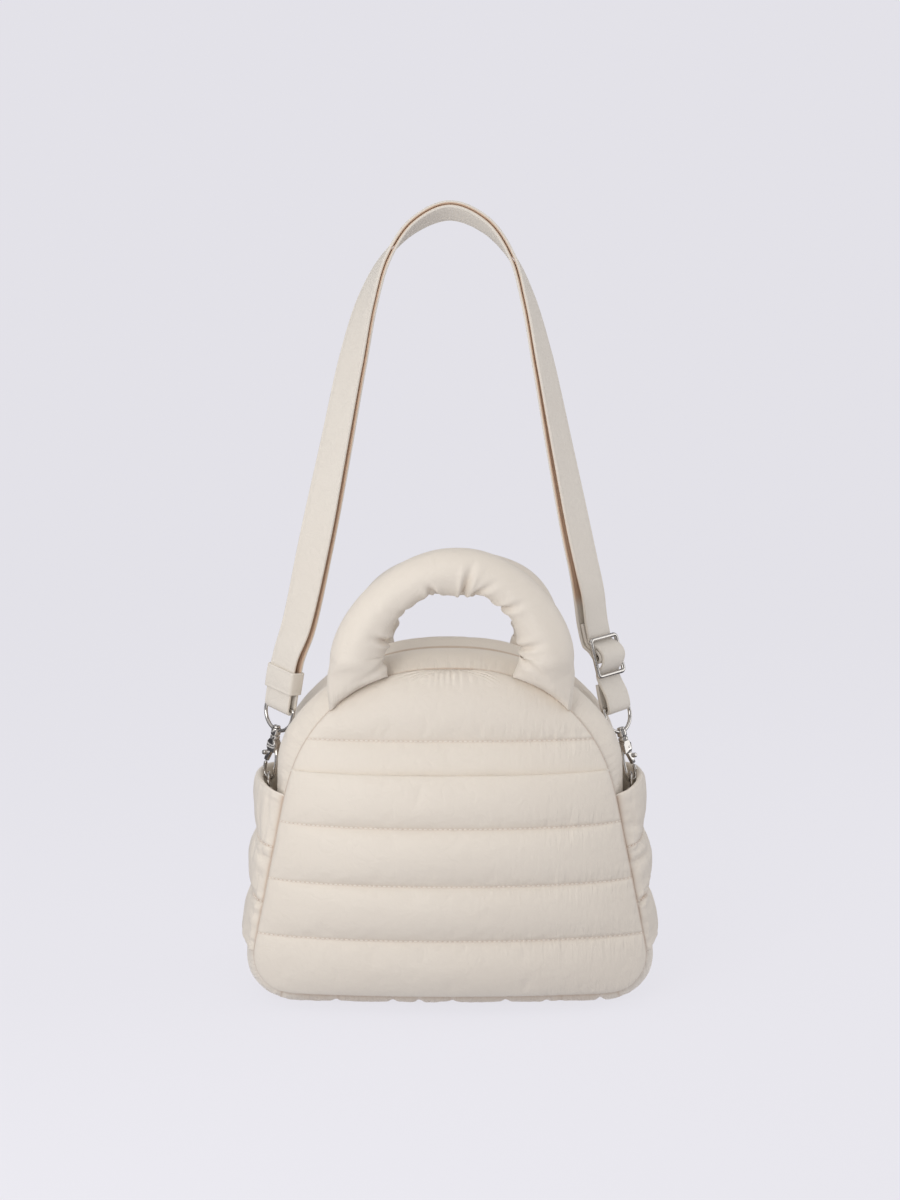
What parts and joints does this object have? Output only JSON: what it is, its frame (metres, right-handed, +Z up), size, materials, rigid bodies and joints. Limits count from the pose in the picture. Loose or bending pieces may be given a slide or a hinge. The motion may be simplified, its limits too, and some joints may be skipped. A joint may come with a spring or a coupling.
{
  "type": "puffer duffel bag",
  "caption": "Small dome-shaped quilted duffel bag with padded tube handles, a front slip pocket, side pockets and a doubled shoulder strap on swivel snap hooks.",
  "frame": {"origin": "middle of the base, on the surface the bag stands on", "axes": "+Z up; the front with the slip pocket faces -Y; +X to the right of someone who looks at the front"},
  "size_m": [0.294, 0.1754, 0.5424],
  "materials": {
    "padded_nylon": "soft cream nylon with a slight sheen, quilted over padding",
    "strap_cloth": "cream nylon, folded flat and topstitched",
    "zip_tape": "cream coil zip, closed",
    "polished_nickel": "polished nickel plate"
  },
  "bodies": {
    "bag": {"front_panel": "padded_nylon", "front_pocket": "padded_nylon", "back_panel": "padded_nylon", "gusset": "padded_nylon", "side_pocket_left": "padded_nylon", "side_pocket_right": "padded_nylon", "zip_strip_front": "padded_nylon", "zip_strip_back": "padded_nylon", "zip_chain": "zip_tape", "handle_front": "padded_nylon", "handle_back": "padded_nylon", "strap": "strap_cloth", "strap_keeper": "strap_cloth", "ring_tab_left": "strap_cloth", "ring_tab_right": "strap_cloth", "strap_slider": "polished_nickel", "hook_eye_left": "polished_nickel", "hook_eye_right": "polished_nickel", "hook_left": "polished_nickel", "hook_right": "polished_nickel", "ring_left": "polished_nickel", "ring_right": "polished_nickel"},
    "left_lever": {"hook_lever_left": "polished_nickel"},
    "right_lever": {"hook_lever_right": "polished_nickel"}
  },
  "joints": [
    {"name": "left_lever_hinge", "type": "hinge", "parent": "bag", "child": "left_lever", "pos_m": [-0.12344, -0.00078, 0.17053], "axis": [-0.706, -0.7048, 0.0695], "range_deg": [0, 22], "stiffness_Nm_per_rad": 0.05},
    {"name": "right_lever_hinge", "type": "hinge", "parent": "bag", "child": "right_lever", "pos_m": [0.12287, 0.00281, 0.16811], "axis": [-0.7304, 0.6392, -0.2405], "range_deg": [0, 22], "stiffness_Nm_per_rad": 0.05}
  ]
}
